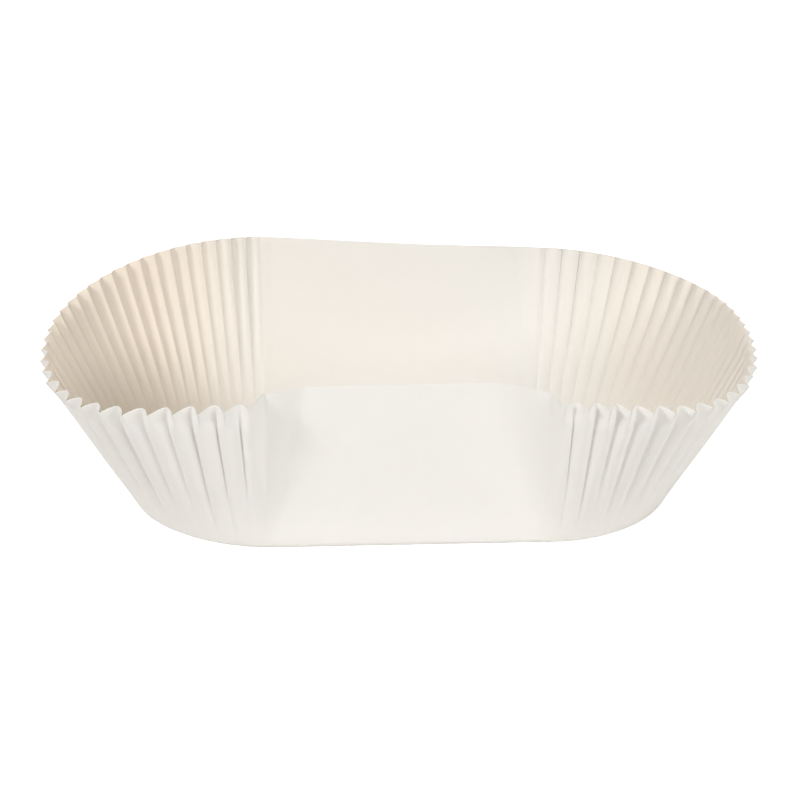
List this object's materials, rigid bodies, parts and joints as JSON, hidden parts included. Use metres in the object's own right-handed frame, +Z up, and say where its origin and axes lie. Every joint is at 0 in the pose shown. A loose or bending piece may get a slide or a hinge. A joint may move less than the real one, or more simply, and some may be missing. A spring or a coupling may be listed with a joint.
{
  "type": "loaf tin liner",
  "caption": "Paper liner for a loaf tin: a flat oblong base with round ends, plain long sides, and finely fluted ends that lean out to a wavy rim.",
  "frame": {"origin": "middle of the flat base, on its underside", "axes": "+X along the length, +Y towards the rear long side, +Z up out of the open top"},
  "size_m": [0.2403, 0.1378, 0.0664],
  "materials": {
    "paper": "smooth greaseproof paper with a dull sheen"
  },
  "bodies": {
    "root": {"liner": "paper"}
  },
  "joints": []
}
